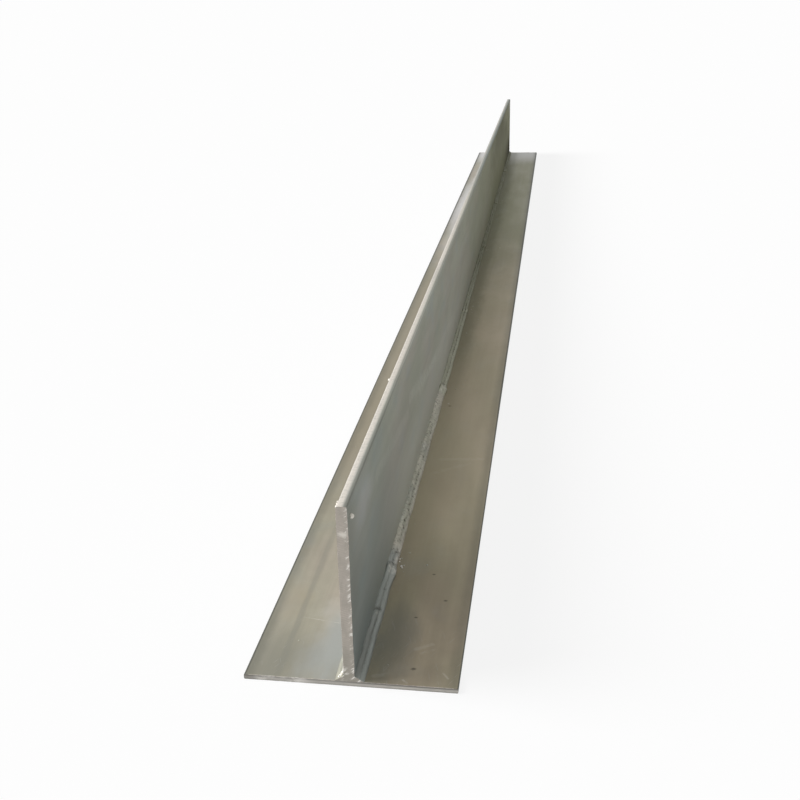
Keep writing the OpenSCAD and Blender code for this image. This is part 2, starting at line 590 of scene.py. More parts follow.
def close_behind(piece, side):
    """Draws the strip's rim back to the root line, so that the weld is a closed body."""
    edit_all(piece)
    bpy.ops.mesh.select_mode(type="EDGE")
    bpy.ops.mesh.select_all(action="DESELECT")
    bpy.ops.mesh.select_non_manifold(extend=False, use_boundary=True)
    bpy.ops.mesh.extrude_edges_move()
    for vert in bmesh.from_edit_mesh(piece.data).verts:
        if vert.select:
            vert.co.x = side * (WEB_FACE - SUNK)
            vert.co.z = FLANGE_TOP - SUNK
    bmesh.update_edit_mesh(piece.data)
    bpy.ops.mesh.select_mode(type="VERT")
    bpy.ops.object.mode_set(mode="OBJECT")
    clean_mesh(piece)


class TBAR_OT_welds(Operator):
    """Models the two fillet welds with their ripples, pits, restarts and craters"""

    bl_idname = "tbar.welds"
    bl_label = "Welds"

    def execute(self, context):
        sizes = context.scene.tbar.welds
        for name, node, side, restarts, nicks, seed in (
            ("weld_right", "weld_bead_right", 1, RIGHT_RESTARTS, RIGHT_NICKS, 100),
            ("weld_left", "weld_bead_left", -1, LEFT_RESTARTS, LEFT_NICKS, 200),
        ):
            piece = lay_weld(name, side, restarts, nicks, sizes, seed)
            dress(piece, "weld_skin", "sawn_skin")
            finish_piece(piece, angle=70.0)
            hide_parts(node)
        return {"FINISHED"}


# Small beads of metal

# How deep a bead's foot lies in the plate
BEAD_SUNK = 0.1 * MM
# Crumbs on the flange by the right weld's first restart: place and radius in millimetres
FIRST_RESTART_CRUMBS = (
    (18.9, -1293.8, 1.4),
    (20.1, -1296.8, 0.9),
    (15.2, -1279.0, 1.2),
    (15.6, -1284.4, 1.0),
    (21.6, -1291.6, 0.6),
)
TORN_CORNER_BEADS = 14
CRUST_BEADS = 64


def model_bead(name):
    """A low dome with a flat foot, one metre in radius, standing on the origin."""
    deselect_objects()
    bpy.ops.mesh.primitive_ico_sphere_add(subdivisions=2, radius=1.0)
    bead = start_piece(name)
    edit_all(bead)
    bpy.ops.mesh.bisect(plane_co=(0, 0, -0.25), plane_no=(0, 0, 1), clear_inner=True, use_fill=True)
    bpy.ops.mesh.select_all(action="SELECT")
    bpy.ops.mesh.normals_make_consistent(inside=False)
    bpy.ops.object.mode_set(mode="OBJECT")
    return bead


def scatter_beads(name, places, material):
    """Copies one bead to each place, and joins the copies: (foot, normal, radius, height over radius)."""
    pattern = model_bead(name + "_pattern")
    copies = []
    for foot, normal, radius, rise in places:
        copy = pattern.copy()
        copy.data = pattern.data.copy()
        bpy.context.scene.collection.objects.link(copy)
        turn = Vector(normal).to_track_quat("Z", "Y").to_matrix().to_4x4()
        size = Matrix.Diagonal((radius, radius, radius * rise, 1.0))
        copy.data.transform(Matrix.Translation(foot) @ turn @ size)
        copies.append(copy)
    bpy.data.objects.remove(pattern)
    piece = join_pieces(copies, name)
    dress(piece, material)
    finish_piece(piece, angle=80.0)


def spatter_places(side, restarts, sizes, seed):
    """Spatter lies on the flange and a little up the web, thickest near the restarts."""
    dice = np.random.default_rng(seed)
    places = []
    for _ in range(sizes.spatter_count):
        if dice.random() < 0.45:
            along = dice.choice(restarts) + dice.normal(0, 0.03)
        else:
            along = dice.uniform(0.01, BAR_LENGTH - 0.01)
        along = min(max(along, 0.004), BAR_LENGTH - 0.004)
        away = 3 * MM + dice.exponential(13 * MM)
        radius = (0.35 + dice.exponential(0.28)) * MM
        if dice.random() < 0.72:
            off = min(sizes.leg_flange + away, FLANGE_HIGH.x - WEB_FACE - 6 * MM)
            foot = (side * (WEB_FACE + off), NEAR_END + along, FLANGE_TOP - BEAD_SUNK)
            normal = (0, 0, 1)
        else:
            off = min(sizes.leg_web + away, 90 * MM)
            foot = (side * (WEB_FACE - BEAD_SUNK), NEAR_END + along, FLANGE_TOP + off)
            normal = (side, 0, 0)
        places.append((foot, normal, min(radius, 1.3 * MM), dice.uniform(0.6, 0.95)))
    return places


class TBAR_OT_spatter(Operator):
    """Scatters the beads that the welder's arc threw on the plates"""

    bl_idname = "tbar.spatter"
    bl_label = "Weld spatter"

    def execute(self, context):
        sizes = context.scene.tbar.welds
        for name, side, restarts, seed in (
            ("spatter_right", 1, RIGHT_RESTARTS, 300),
            ("spatter_left", -1, LEFT_RESTARTS, 400),
        ):
            scatter_beads(name, spatter_places(side, restarts, sizes, seed), "spatter_skin")
        return {"FINISHED"}


class TBAR_OT_zinc_lumps(Operator):
    """Adds the splash on the web, its torn corner, the crust at the left weld and the restart's crumbs"""

    bl_idname = "tbar.zinc_lumps"
    bl_label = "Zinc lumps"

    def execute(self, context):
        splash = ((WEB_FACE + 0.5 * MM, -1485.6 * MM, 168.8 * MM), (1, 0, 0), 2.6 * MM, 1.1)
        tear = ((-WEB_FACE, -1191.6 * MM, WEB_TOP - 2.2 * MM), (-1, 0, 0.3), 1.8 * MM, 1.0)
        places = [splash, tear]
        dice = np.random.default_rng(seed=500)
        for x_mm, y_mm, radius in FIRST_RESTART_CRUMBS:
            foot = (x_mm * MM, y_mm * MM, FLANGE_TOP - BEAD_SUNK)
            places.append((foot, (0, 0, 1), radius * MM, dice.uniform(0.7, 1.0)))
        for _ in range(TORN_CORNER_BEADS):
            back = dice.uniform(0.8, 11.0) * MM
            radius = dice.uniform(0.6, 1.2) * MM
            up = WEB_TOP - radius - dice.uniform(0.2, 2.6) * MM
            foot = (-WEB_FACE + 0.2 * MM, NEAR_END + radius + back, up)
            places.append((foot, (-1, 0, 0.25), radius, dice.uniform(0.9, 1.6)))
        for rise in np.linspace(0, 1, CRUST_BEADS):
            out = WEB_FACE - 1.0 * MM + 7.5 * MM * (1 - rise) ** 1.2 * dice.uniform(0.0, 1.0)
            foot = (-out, NEAR_END + dice.uniform(2.0, 4.5) * MM, FLANGE_TOP + 17 * MM * rise)
            radius = dice.uniform(0.6, 1.3) * MM
            places.append((foot, (-0.7, -0.6, 0.5), radius, dice.uniform(0.7, 1.1)))
        scatter_beads("zinc_lumps", places, "splash_skin")
        return {"FINISHED"}


# Burrs

def ragged_ridge(name, start, stop, out, height, seed):
    """A thin ridge with a ragged crest along an edge, from start to stop, standing off it along out."""
    run = stop - start
    piece = add_grid(name, max(8, round(run.length / (0.7 * MM))), 3)
    points = mesh_points(piece)
    along = points[:, 0] + 0.5
    row = np.round((points[:, 1] + 0.5) * 3).astype(int)
    crest = np.clip(0.45 + 0.55 * wander(along * run.length, 1.3 * MM, seed), 0.05, 1)
    crest *= np.clip(0.6 + 0.7 * wander(along * run.length, 14 * MM, seed + 1), 0.1, 1)
    taper = np.clip(np.minimum(along, 1 - along) * run.length / (2 * MM), 0, 1)
    inward = Vector((0, 1 if start.y < 0 else -1, 0))
    foot = 0.08 * MM
    rise = np.where(row == 1, taper * (height * crest + foot), 0) - foot
    depth = 0.02 * MM + taper * np.array((0.0, 0.33, 0.73, 0.0))[row] * MM
    places = np.outer(1 - along, start) + np.outer(along, stop)
    move_points(piece, places + np.outer(rise, out) + np.outer(depth, inward))
    clean_mesh(piece)
    return piece


class TBAR_OT_burrs(Operator):
    """Adds the ragged burrs that the saw left along the edges of the ends"""

    bl_idname = "tbar.burrs"
    bl_label = "Saw burrs"

    def execute(self, context):
        height = context.scene.tbar.plates.burr_height
        inset = 3 * MM
        ridges = []
        for end, worn, seed in ((NEAR_END, 0.3, 600), (FAR_END, 1.0, 700)):
            for side in (-1, 1):
                foot = Vector((side * (FLANGE_HIGH.x - inset), end, FLANGE_TOP))
                root = Vector((side * (WEB_FACE + inset), end, FLANGE_TOP))
                up = Vector((0, 0, 1))
                ridges.append(ragged_ridge(f"ridge_{len(ridges)}", foot, root, up, worn * height, seed))
                low = Vector((side * WEB_FACE, end, FLANGE_TOP + 8 * MM))
                high = Vector((side * WEB_FACE, end, WEB_TOP - inset))
                out = Vector((side, 0, 0))
                ridges.append(ragged_ridge(f"ridge_{len(ridges)}", low, high, out, height, seed + 5 + side))
        piece = join_pieces(ridges, "saw_burrs")
        dress(piece, "burr_skin")
        finish_piece(piece, angle=60.0)
        return {"FINISHED"}


# Shader helpers

class Value:
    """What a node's socket gives, with the sums that can be done on it."""

    def __init__(self, tree, socket):
        self.tree = tree
        self.socket = socket

    def __add__(self, other):
        return number_sum("ADD", self, other)

    def __sub__(self, other):
        return number_sum("SUBTRACT", self, other)

    def __rsub__(self, other):
        return number_sum("SUBTRACT", other, self)

    def __mul__(self, other):
        return number_sum("MULTIPLY", self, other)

    def __truediv__(self, other):
        return number_sum("DIVIDE", self, other)

    def __rtruediv__(self, other):
        return number_sum("DIVIDE", other, self)

    def __gt__(self, other):
        return number_sum("GREATER_THAN", self, other)

    def __abs__(self):
        return number_sum("ABSOLUTE", self)

    def clamped(self):
        """The value, kept from 0 to 1."""
        self.socket.node.use_clamp = True
        return self

    def ramp(self, low, high, to_low=0.0, to_high=1.0):
        """The value mapped from one range to another with soft ends."""
        values = {"Value": self, "From Min": low, "From Max": high, "To Min": to_low, "To Max": to_high}
        return node_value(self.tree, "ShaderNodeMapRange", "Result", values, interpolation_type="SMOOTHSTEP")

    def feed(self, socket):
        """Links the value to an input."""
        self.tree.links.new(self.socket, socket)


def place_node(tree, kind, values, **settings):
    """Adds a node, sets its options, and fills or links its inputs."""
    node = tree.nodes.new(kind)
    for option, setting in settings.items():
        setattr(node, option, setting)
    for socket, value in values.items():
        if isinstance(value, Value):
            value.feed(node.inputs[socket])
        else:
            node.inputs[socket].default_value = value
    return node


def node_value(tree, kind, output, values, **settings):
    """What one output of a new node gives."""
    return Value(tree, place_node(tree, kind, values, **settings).outputs[output])


def tree_of(*parts):
    """The tree that the first value among the parts belongs to."""
    return next(part.tree for part in parts if isinstance(part, Value))


def number_sum(operation, *parts):
    """The result of one sum on numbers."""
    return node_value(tree_of(*parts), "ShaderNodeMath", 0, dict(enumerate(parts)), operation=operation)


def vector_sum(operation, *parts):
    """The vector, or the number, that one sum on vectors gives."""
    output = "Value" if operation in ("DOT_PRODUCT", "DISTANCE", "LENGTH") else "Vector"
    values = dict(enumerate(parts))
    return node_value(tree_of(*parts), "ShaderNodeVectorMath", output, values, operation=operation)


def shown(colour):
    """A colour as a socket takes it, with its alpha."""
    return colour if isinstance(colour, Value) else (*colour, 1.0)


def mix_colour(share, first, second, blend="MIX"):
    """One colour laid over another by a share."""
    values = {0: share, 6: shown(first), 7: shown(second)}
    return node_value(tree_of(share, first), "ShaderNodeMix", 2, values, data_type="RGBA", blend_type=blend)


def noise(place, scale, detail=3.0, rough=0.5, warp=0.0):
    """A cloudy pattern at a number of lumps to the metre."""
    values = {"Vector": place, "Scale": scale, "Detail": detail, "Roughness": rough, "Distortion": warp}
    return node_value(place.tree, "ShaderNodeTexNoise", "Fac", values)


def remap(place, **values):
    """The place moved, turned or stretched along each axis."""
    inputs = {name.capitalize(): value for name, value in values.items()}
    return node_value(place.tree, "ShaderNodeMapping", "Vector", {"Vector": place, **inputs})


def axes(place):
    """The three parts of a place."""
    parts = place_node(place.tree, "ShaderNodeSeparateXYZ", {0: place}).outputs
    return [Value(place.tree, part) for part in parts]


def new_group(name, inputs, outputs):
    """An empty node group with named sockets: the values given to it, and the inputs of its results."""
    tree = bpy.data.node_groups.new(name, "ShaderNodeTree")
    for way, sockets in (("INPUT", inputs), ("OUTPUT", outputs)):
        for label, kind in sockets.items():
            tree.interface.new_socket(label, in_out=way, socket_type="NodeSocket" + kind)
    given = tree.nodes.new("NodeGroupInput").outputs
    return {label: Value(tree, given[label]) for label in inputs}, tree.nodes.new("NodeGroupOutput").inputs


def use_group(tree, name, values):
    """Places a node group in a material with its own values: what its outputs give."""
    node = place_node(tree, "ShaderNodeGroup", values, node_tree=bpy.data.node_groups[name])
    return {output.name: Value(tree, output) for output in node.outputs}


# Effects that several finishes share

def build_zinc_coat():
    """Zinc: soft clouds, streaks along the bar, a faint spangle and a fine grain."""
    colours = {"Bright": "Color", "Dull": "Color"}
    inputs = {"Place": "Vector", **colours, "Cloud size": "Float", "Streaks": "Float"}
    given, out = new_group("zinc_coat", inputs, {"Color": "Color", "Roughness": "Float", "Height": "Float"})
    place = given["Place"]
    long_way = remap(place, scale=(1.0, 0.35, 1.0))
    clouds = noise(long_way, 1.0 / given["Cloud size"], 4.0, 0.55, 0.3).ramp(0.32, 0.68)
    streaks = noise(remap(place, scale=(1.0, 0.035, 1.0)), 95.0, 3.0, 0.6).ramp(0.3, 0.7)
    values = {"Vector": place, "Scale": 120.0, "Randomness": 1.0}
    cells = node_value(place.tree, "ShaderNodeTexVoronoi", "Color", values)
    spangle = node_value(place.tree, "ShaderNodeSeparateColor", 0, {0: cells})
    grain = noise(place, 850.0, 2.0, 0.6)
    share = spangle * 0.10 + clouds * 0.9 + (streaks - 0.5) * given["Streaks"]
    share = ((grain - 0.5) * 0.30 + share).clamped()
    colour = mix_colour(share, given["Dull"], given["Bright"])
    warmth = noise(long_way, 15.0, 2.0).ramp(0.36, 0.64)
    tint = mix_colour(warmth, (0.98, 1.0, 0.965), (1.015, 0.99, 0.985))
    colour = mix_colour(1.0, colour, tint, "MULTIPLY")
    cold = noise(remap(place, scale=(1.0, 0.5, 1.0)), 27.0, 2.0).ramp(0.5, 0.72)
    colder = mix_colour(1.0, colour, (0.97, 1.0, 1.06), "MULTIPLY")
    mix_colour(cold, colour, colder).feed(out["Color"])
    (grain * 0.10 + (share * -0.10 + 0.44)).feed(out["Roughness"])
    (grain * 0.22 + (clouds * 0.5 + spangle * 0.12)).feed(out["Height"])


def build_scratch():
    """A scratch: a mask round the straight line between two points."""
    inputs = {"Place": "Vector", "Start": "Vector", "Stop": "Vector", "Width": "Float"}
    given, out = new_group("scratch", inputs, {"Mask": "Float"})
    place = given["Place"]
    run = vector_sum("SUBTRACT", given["Stop"], given["Start"])
    out_way = vector_sum("SUBTRACT", place, given["Start"])
    share = (vector_sum("DOT_PRODUCT", out_way, run) / vector_sum("DOT_PRODUCT", run, run)).clamped()
    values = {0: run, "Scale": share}
    nearest = node_value(place.tree, "ShaderNodeVectorMath", "Vector", values, operation="SCALE")
    ragged = noise(place, 300.0, 2.0) * 1.2 + 0.4
    near = vector_sum("DISTANCE", out_way, nearest) / (given["Width"] * ragged)
    broken = noise(place, 130.0, 2.0).ramp(0.36, 0.52, 0.25, 1.0)
    (near.ramp(1.0, 0.35) * broken).feed(out["Mask"])


def build_blot():
    """A blot: a mask with a soft ragged rim round a point, with its own reach along each axis."""
    inputs = {"Place": "Vector", "Centre": "Vector", "Reach": "Vector", "Ragged": "Float"}
    given, out = new_group("blot", inputs, {"Mask": "Float"})
    off = vector_sum("SUBTRACT", given["Place"], given["Centre"])
    share = vector_sum("DIVIDE", off, given["Reach"])
    ragged = noise(remap(share, scale=(1.6, 1.6, 1.6)), 1.0) - 0.5
    away = ragged * (given["Ragged"] * 3.0) + vector_sum("LENGTH", share)
    away.ramp(1.0, 0.2).feed(out["Mask"])


def build_saw_marks():
    """The saw's marks on an end: slanting bright lines over a duller ground."""
    inputs = {"Place": "Vector", "Pitch": "Float", "Bright": "Color", "Dull": "Color"}
    given, out = new_group("saw_marks", inputs, {"Color": "Color", "Height": "Float"})
    place = given["Place"]
    x, _, z = axes(place)
    turns = noise(place, 120.0, 2.0) * 0.9 + (x * SAW_SLANT + z) / given["Pitch"]
    wave = number_sum("SINE", turns * (2 * math.pi)) * 0.5 + 0.5
    fine = noise(remap(place, scale=(0.12, 1.0, 1.0)), 1600.0, 2.0, 0.7)
    line = wave.ramp(0.45, 0.95) * noise(place, 60.0, 2.0).ramp(0.4, 0.62)
    share = (fine * 0.5 + line * 0.16).clamped()
    mix_colour(share, given["Dull"], given["Bright"]).feed(out["Color"])
    (fine * 0.5 + wave * 0.3).feed(out["Height"])


def build_band():
    """A band: a mask with a soft ragged rim along a line, by the distance from it."""
    inputs = {"Place": "Vector", "Distance": "Float", "Width": "Float", "Ragged": "Float"}
    given, out = new_group("band", inputs, {"Mask": "Float"})
    ragged = noise(remap(given["Place"], scale=(1.0, 0.3, 1.0)), 90.0) - 0.5
    away = ragged * (given["Ragged"] * 2.0) + abs(given["Distance"])
    (away / given["Width"]).ramp(1.0, 0.25).feed(out["Mask"])


def build_hairs():
    """Hair scratches: short thin lines that run two ways across a plate."""
    given, out = new_group("hairs", {"Place": "Vector"}, {"Mask": "Float"})
    lines = []
    for turn, shift in ((0.45, 0.0), (-0.25, 3.0)):
        turned = remap(given["Place"], location=(shift, 0, 0), rotation=(0, 0, turn))
        lines.append(noise(remap(turned, scale=(1.0, 0.06, 1.0)), 700.0, 1.0).ramp(0.70, 0.78))
    number_sum("MAXIMUM", *lines).feed(out["Mask"])


# Finishes

def in_metres(parts):
    """Lengths in metres from lengths in millimetres."""
    return [part * MM for part in parts]


class Skin:
    """A material while it is painted: its shader, the place on the object and the colour so far."""

    def __init__(self, finish, name, metallic, glancing=0.6, gloss=0.15):
        material = bpy.data.materials.new(name)
        material.use_nodes = True
        self.finish = finish
        self.tree = material.node_tree
        self.inputs = self.tree.nodes["Principled BSDF"].inputs
        self.inputs["Metallic"].default_value = metallic
        self.inputs["Specular IOR Level"].default_value = gloss
        self.inputs["Specular Tint"].default_value = (glancing, glancing, glancing, 1.0)
        self.place = node_value(self.tree, "ShaderNodeTexCoord", "Object", {})
        self.colour = None

    def coat(self, bright, dull, cloud_size, streaks):
        """Starts with a coat of zinc, and gives the height of its bumps."""
        colours = {"Bright": shown(bright), "Dull": shown(dull)}
        values = {"Place": self.place, **colours, "Cloud size": cloud_size, "Streaks": streaks}
        coat = use_group(self.tree, "zinc_coat", values)
        self.colour = coat["Color"]
        coat["Roughness"].feed(self.inputs["Roughness"])
        return coat["Height"]

    def lay(self, name, strength, mask):
        """Lays a tone over the colour where the mask is, as strongly as asked."""
        self.colour = mix_colour(mask * strength, self.colour, getattr(self.finish, name))

    def lay_blots(self, rows):
        """Lays blots: tone, strength, centre, reach along each axis, and how ragged the rim is."""
        for name, strength, centre, reach, ragged in rows:
            self.lay(name, strength, self.blot(centre, reach, ragged))

    def lay_scratches(self, name, rows):
        """Lays scratches or smears of one tone: start, stop, half the width and the strength."""
        for start, stop, width, strength in rows:
            values = {"Start": in_metres(start), "Stop": in_metres(stop), "Width": width * MM}
            self.lay(name, strength, self.mask("scratch", values))

    def mask(self, group, values):
        """The mask that a group gives at each place."""
        return use_group(self.tree, group, {"Place": self.place, **values})["Mask"]

    def blot(self, centre, reach, ragged=0.3):
        """A blot's mask, in millimetres."""
        return self.mask("blot", {"Centre": in_metres(centre), "Reach": in_metres(reach), "Ragged": ragged})

    def band(self, distance, width, ragged):
        """A band's mask, by the distance from its line, with its width in millimetres."""
        return self.mask("band", {"Distance": distance, "Width": width * MM, "Ragged": ragged * MM})

    def close(self, height, distance, strength):
        """Gives the shader the colour, and bumps its normal by a height over a distance in millimetres."""
        self.colour.feed(self.inputs["Base Color"])
        values = {"Height": height, "Distance": distance * MM, "Strength": strength}
        node_value(self.tree, "ShaderNodeBump", "Normal", values).feed(self.inputs["Normal"])


# Marks on the flange's top, in millimetres from the bar's middle: centre and radius of the specks
DARK_SPECKS = (
    (56.2, -1306.9, 1.9),
    (73.8, -1356.7, 2.2),
    (47.4, -1390.2, 2.0),
    (55.9, -1474.7, 2.7),
    (26.3, -832.3, 2.6),
)
# Scratches and smears: start, stop, half the width and the strength
FLANGE_SCRATCHES = (
    ((-65.1, -1401.5, 5), (-27.8, -1408.1, 5), 0.6, 0.38),
    ((83.7, -1477.6, 5), (89.2, -1485.6, 5), 1.5, 0.17),
    ((48.4, -1492.2, 5), (53.0, -1497.0, 5), 1.5, 0.24),
    ((54.7, -1443.7, 5), (68.7, -1434.0, 5), 3.6, 0.11),
    ((60.0, -1450.0, 5), (71.0, -1443.0, 5), 2.6, 0.07),
    ((21.0, -1489.0, 5), (31.0, -1486.0, 5), 3.6, 0.1),
    ((34.0, -1018.0, 5), (86.0, -1012.0, 5), 6.0, 0.07),
    ((26.0, -1062.0, 5), (70.0, -1028.0, 5), 5.0, 0.05),
)
WEB_SMEARS = (
    ((5, -1101.0, 125), (5, -735.0, 59), 11.0, 0.22),
    ((5, -1010.0, 98), (5, -574.0, 59), 9.0, 0.20),
    ((5, -1350.0, 142), (5, -1120.0, 112), 10.0, 0.14),
)
# A cool painted reflection lies on the left flange by the web's foot at the near end, and the near corner is
# greenish
FLANGE_FILMS_AND_REFLECTION = (
    ("flange_damp", 0.6, (-94, -1490, 5), (58, 110, 40), 0.2),
    # Painted reflection on the left flange by the web's foot
    ("cool_zinc_and_reflection", 0.7, (-21, -1453, 5), (40, 96, 40), 0.4),
    ("weld_cool_and_reflection", 0.28, (-21, -1453, 5), (40, 96, 40), 0.4),
    ("fresh_zinc_and_highlight", 0.18, (-34, -1387, 5), (30, 34, 40), 0.4),
    ("flange_damp", 0.3, (-54, -1468, 5), (30, 56, 40), 0.3),
    ("shaded_bright_zinc", 0.55, (-79, -1372, 5), (24, 44, 40), 0.3),
)
# Painted shade and reflection of the web beside the right weld's start, a painted shadow at the near right
# corner, and a paler spot between
FLANGE_SHADE = (
    ("web_foot", 0.2, (34, -1432, 5), (31, 95, 40), 0.35),
    ("soot_and_shade", 0.27, (34, -1432, 5), (31, 95, 40), 0.35),
    ("soot_and_shade", 0.2, (82, -1498, 5), (50, 44, 40), 0.2),
    ("fresh_zinc_and_highlight", 0.07, (48, -1480, 5), (30, 22, 40), 0.3),
)
# Stains at the web's far end
FAR_STAINS = (
    ("soot_and_shade", 0.92, (5, 1490, 34), (10, 150, 30), 0.25),
    ("rust", 0.85, (5, 1500, 26), (10, 34, 34), 0.35),
)
# Painted highlights on the right weld's first two restart lumps, and a painted shadow in the hollow behind
# the second
RESTART_HIGHLIGHTS_AND_SHADOW = (
    ("web_pale_and_highlight", 0.22, (11, -1307, 9), (9, 14, 8), 0.2),
    ("fresh_zinc_and_highlight", 0.35, (13, -1287, 7), (5, 15, 5), 0.2),
    ("web_pale_and_highlight", 0.26, (7, -785, 11), (6, 14, 6), 0.2),
    ("web_pale_and_highlight", 0.34, (12, -769, 7.5), (6, 17, 6), 0.2),
    ("soot_and_shade", 0.5, (8, -758, 10), (3.5, 11, 5), 0.2),
)


def flange_finish(finish):
    """Beige-grey zinc with painted shade on its right side and along its edges, streaks, specks, scratches,
    and a painted highlight and reflection.
    """
    skin = Skin(finish, "flange_skin", metallic=0.6)
    x, y, _ = axes(skin.place)
    lee = x.ramp(-5 * MM, 20 * MM)
    # Painted shade: the right side takes darker copies of the left side's zinc
    bright = mix_colour(lee, finish.flange_bright, finish.shaded_bright_zinc)
    dull = mix_colour(lee, finish.flange_dull, finish.shaded_dull_zinc)
    height = skin.coat(bright, dull, cloud_size=0.07, streaks=0.35)

    # The right side is greener far off, a painted highlight brightens the left side there, and the far end
    # is paler
    middle = y.ramp(-1.36, -1.15) * y.ramp(0.15, -0.3)
    skin.lay("lee_pale", 0.5, middle * lee)
    skin.lay("shaded_dull_zinc", 0.95, middle * (y.ramp(-1.27, -0.95) * (1.0 - lee)))
    skin.lay("lee_far", 0.8, y.ramp(-0.5, 0.6) * lee)
    skin.lay("pale_zinc_and_highlight", 0.7, skin.blot((-60, 620, 5), (90, 520, 40)))
    skin.lay("pale_zinc_and_highlight", 0.68, y.ramp(1.22, 1.46))
    skin.lay_blots(FLANGE_FILMS_AND_REFLECTION)

    # A dull streak runs along the left side and fades
    skin.lay("flange_damp", 0.5, skin.band(x + 69 * MM, 5.0, 1.5) * y.ramp(-0.9, -1.45))

    # Painted shade on the rolled edges, thicker far off and thinner at the near right
    from_rim = FLANGE_HIGH.x - abs(x)
    skin.lay("rim_shade", 0.28, skin.band(from_rim, 15.0, 3.0))
    near_right = y.ramp(-0.7, -1.25) * lee
    rim_distance = from_rim * y.ramp(-1.2, 0.8, 1.0, 0.45) * near_right.ramp(0.0, 1.0, 1.0, 2.2)
    skin.lay("rim_shade", 0.88, skin.band(rim_distance, 2.9, 0.3))

    # Painted shade and reflection of the web beside the weld's far half on the right, in an olive tone
    from_weld = number_sum("MAXIMUM", x, 14 * MM) - 14 * MM
    skin.lay("moss_and_shade", 0.5, skin.band(from_weld, 34.0, 8.0) * (x > 0.0) * y.ramp(-1.0, -0.45))
    # Painted shade and shadow beside the right weld's start and at the near right corner
    skin.lay_blots(FLANGE_SHADE)
    for x_mm, y_mm, radius in DARK_SPECKS:
        skin.lay("soot_and_shade", 0.72, skin.blot((x_mm, y_mm, 5), (1.4 * radius, radius, 10)))
    skin.lay_scratches("fresh_zinc_and_highlight", FLANGE_SCRATCHES)
    skin.lay("cool_zinc_and_reflection", 0.22, skin.mask("hairs", {}) * y.ramp(-1.36, -1.47, 0.25, 1.0))
    skin.close(height, distance=0.6, strength=0.3)


def web_finish(finish):
    """Grey zinc, bluer at the near foot, with a painted highlight on the top edge, painted shade at the near
    end, a painted dark reflection far off and a rusty stain at the far end.
    """
    skin = Skin(finish, "web_skin", metallic=0.4, glancing=0.25, gloss=0.0)
    x, y, z = axes(skin.place)
    lee = x.ramp(-3 * MM, 4 * MM)
    bright = mix_colour(lee, finish.left_bright, finish.web_bright)
    dull = mix_colour(lee, finish.left_dull, finish.web_dull)
    height = skin.coat(bright, dull, cloud_size=0.09, streaks=0.25)
    skin.lay("web_far", 0.78, y.ramp(-0.9, 0.9) * lee)

    # A paler run of zinc along the foot, faint smears, and a pale patch near the top
    skin.lay("web_pale_and_highlight", 0.72, y.ramp(-1.49, -1.14) * y.ramp(-0.15, -0.8) * z.ramp(0.11, 0.03))
    skin.lay_scratches("web_pale_and_highlight", WEB_SMEARS)
    skin.lay("pale_zinc_and_highlight", 0.28, skin.blot((5, -1415, 152), (8, 60, 28), 0.25))

    # The near end is darker and bluer, most of all at its foot, with painted shade over its last few
    # centimetres
    skin.lay("web_foot", 0.7, z.ramp(0.16, 0.02, 0.35, 1.0) * y.ramp(-1.12, -1.5))
    skin.lay("web_shade", 0.22, skin.blot((5, -1462, 98), (10, 50, 36), 0.25))
    skin.lay("web_shade", 0.35, y.ramp(-1.45, -1.495) * z.ramp(0.03, 0.09))

    # A painted dark reflection lies on the right face's far part, strongest high up, with soft cloudy edges
    clouds = noise(remap(skin.place, scale=(1.0, 0.3, 1.0)), 9.0, 4.0, 0.6, 0.4)
    dark_reflection_line = (clouds - 0.5) * 1.4 + y
    dark_reflection = dark_reflection_line.ramp(0.25, 0.9) * dark_reflection_line.ramp(1.6, 1.15) * z.ramp(0.07, 0.16, 0.25, 1.0)
    skin.lay("soot_and_shade", 0.4, dark_reflection * lee)

    # The far end's foot is dark, under a pale corner
    skin.lay("pale_zinc_and_highlight", 0.3, skin.blot((5, 1490, 170), (10, 130, 34)))
    skin.lay("soot_and_shade", 0.6, y.ramp(1.0, 1.42) * z.ramp(0.1, 0.03) * lee)
    skin.lay_blots(FAR_STAINS)

    # A highlight is painted along the top edge, more on its left than on its right; painted shade dims the
    # flat top's right part, and painted light brightens the rounded arris away from the near end
    on_top = z > WEB_TOP - 1.75 * MM
    skin.lay("web_shade", 0.5, on_top * x.ramp(0.9 * MM, 2.4 * MM))
    arris = x.ramp(2.9 * MM, 3.6 * MM) * z.ramp(WEB_TOP - 3 * MM, WEB_TOP - 2 * MM)
    skin.lay("web_pale_and_highlight", 0.3, arris * y.ramp(-1.35, -1.05))
    # Most of the top turns cooler and darker far off, under the painted highlight
    skin.lay("weld_cool_and_reflection", 0.7, on_top * y.ramp(-0.3, 0.25) * x.ramp(-3.4 * MM, -1.8 * MM))
    from_strip = (x + 2.2 * MM) * y.ramp(-0.3, 0.2, 1.0, 2.0)
    highlight_band = skin.band(from_strip, 5.0, 0.6) * on_top
    patchy = noise(remap(skin.place, scale=(1.0, 0.12, 1.0)), 30.0).ramp(0.3, 0.55, 0.72, 1.0)
    grain = noise(remap(skin.place, scale=(0.5, 1.0, 1.0)), 380.0, 3.0, 0.65).ramp(0.34, 0.58, 0.74, 1.0)
    skin.lay("top_edge_highlight", 0.95, highlight_band * (patchy * grain * y.ramp(-0.9, 0.3, 1.0, 0.45)))
    skin.lay("cool_zinc_and_reflection", 0.10, skin.mask("hairs", {}))
    bare = y.ramp(-0.9, 0.6, 0.4, 0.15) * y.ramp(1.36, 1.45, 1.0, 0.1)
    bare.feed(skin.inputs["Metallic"])
    skin.close(height, distance=0.6, strength=0.3)


